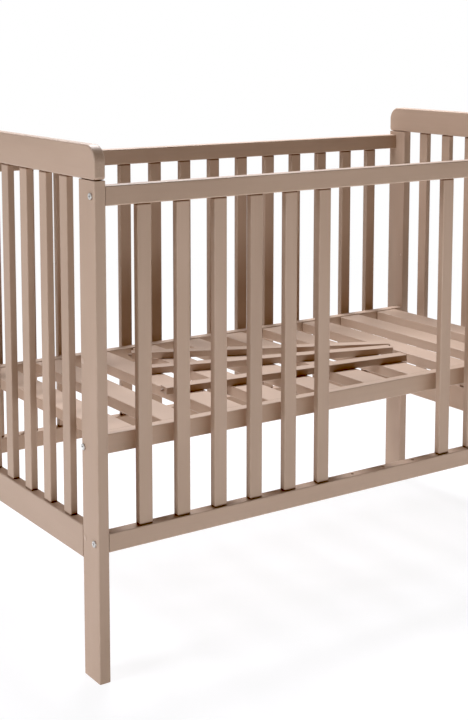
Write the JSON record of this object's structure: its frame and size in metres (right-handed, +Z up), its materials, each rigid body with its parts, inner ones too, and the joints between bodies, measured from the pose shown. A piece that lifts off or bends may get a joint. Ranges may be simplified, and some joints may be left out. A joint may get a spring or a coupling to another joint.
{
  "type": "baby crib",
  "caption": "Wooden baby crib with slatted ends and sides, a bolted height-adjustable slatted base, and removable slats that lie on the base.",
  "frame": {"origin": "on the floor under the middle of the crib", "axes": "+X along the crib to its right end, -Y to its front side, +Z up"},
  "size_m": [1.2506, 0.66, 0.962],
  "materials": {
    "painted_wood": "matte mocha paint on solid wood",
    "zinc_plated_steel": "bright zinc plating",
    "nylon": "moulded, dyed near the colour of the paint",
    "spring_steel": "bare drawn wire"
  },
  "bodies": {
    "crib_frame": {"left_front_post": "painted_wood", "left_back_post": "painted_wood", "left_top_rail": "painted_wood", "left_bottom_rail": "painted_wood", "left_slat_1": "painted_wood", "left_slat_2": "painted_wood", "left_slat_3": "painted_wood", "left_slat_4": "painted_wood", "left_slat_5": "painted_wood", "left_slat_6": "painted_wood", "right_front_post": "painted_wood", "right_back_post": "painted_wood", "right_top_rail": "painted_wood", "right_bottom_rail": "painted_wood", "right_slat_1": "painted_wood", "right_slat_2": "painted_wood", "right_slat_3": "painted_wood", "right_slat_4": "painted_wood", "right_slat_5": "painted_wood", "right_slat_6": "painted_wood", "front_top_rail": "painted_wood", "front_bottom_rail": "painted_wood", "front_slat_01": "painted_wood", "front_slat_02": "painted_wood", "front_slat_03": "painted_wood", "front_slat_04": "painted_wood", "front_slat_05": "painted_wood", "front_slat_06": "painted_wood", "front_slat_10": "painted_wood", "front_slat_11": "painted_wood", "front_slat_12": "painted_wood", "front_slat_13": "painted_wood", "front_slat_14": "painted_wood", "back_top_rail": "painted_wood", "back_slat_comb": "painted_wood", "base_slat_comb": "painted_wood", "base_back_rail": "painted_wood", "bolt_left_front_bottom": "zinc_plated_steel", "bolt_left_front_base": "zinc_plated_steel", "bolt_left_front_top": "zinc_plated_steel", "bolt_left_back_bottom": "zinc_plated_steel", "bolt_left_back_base": "zinc_plated_steel", "bolt_left_back_top": "zinc_plated_steel", "bolt_right_front_bottom": "zinc_plated_steel", "bolt_right_front_base": "zinc_plated_steel", "bolt_right_front_top": "zinc_plated_steel", "bolt_right_back_bottom": "zinc_plated_steel", "bolt_right_back_base": "zinc_plated_steel", "bolt_right_back_top": "zinc_plated_steel"},
    "loose_slat_1": {"removable_slat_1": "painted_wood", "pin_spring_1": "spring_steel"},
    "slat_pin_1": {"spring_pin_1": "nylon"},
    "loose_slat_2": {"removable_slat_2": "painted_wood", "pin_spring_2": "spring_steel"},
    "slat_pin_2": {"spring_pin_2": "nylon"},
    "loose_slat_3": {"removable_slat_3": "painted_wood", "pin_spring_3": "spring_steel"},
    "slat_pin_3": {"spring_pin_3": "nylon"}
  },
  "joints": [
    {"name": "loose_slat_1_lift", "type": "slide", "parent": "crib_frame", "child": "loose_slat_1", "axis": [0, 0, 1], "range_m": [0, 0.55]},
    {"name": "slat_pin_1_press", "type": "slide", "parent": "loose_slat_1", "child": "slat_pin_1", "axis": [-0.9951, 0.0993, 0], "range_m": [0, 0.007], "stiffness_N_per_m": 150, "springref_m": -0.004, "deforming": ["pin_spring_1"]},
    {"name": "loose_slat_2_lift", "type": "slide", "parent": "crib_frame", "child": "loose_slat_2", "axis": [0, 0, 1], "range_m": [0, 0.55]},
    {"name": "slat_pin_2_press", "type": "slide", "parent": "loose_slat_2", "child": "slat_pin_2", "axis": [-0.9655, 0.2605, 0], "range_m": [0, 0.007], "stiffness_N_per_m": 150, "springref_m": -0.004, "deforming": ["pin_spring_2"]},
    {"name": "loose_slat_3_lift", "type": "slide", "parent": "crib_frame", "child": "loose_slat_3", "axis": [0, 0, 1], "range_m": [0, 0.55]},
    {"name": "slat_pin_3_press", "type": "slide", "parent": "loose_slat_3", "child": "slat_pin_3", "axis": [-0.9041, 0.4274, 0], "range_m": [0, 0.007], "stiffness_N_per_m": 150, "springref_m": -0.004, "deforming": ["pin_spring_3"]}
  ]
}
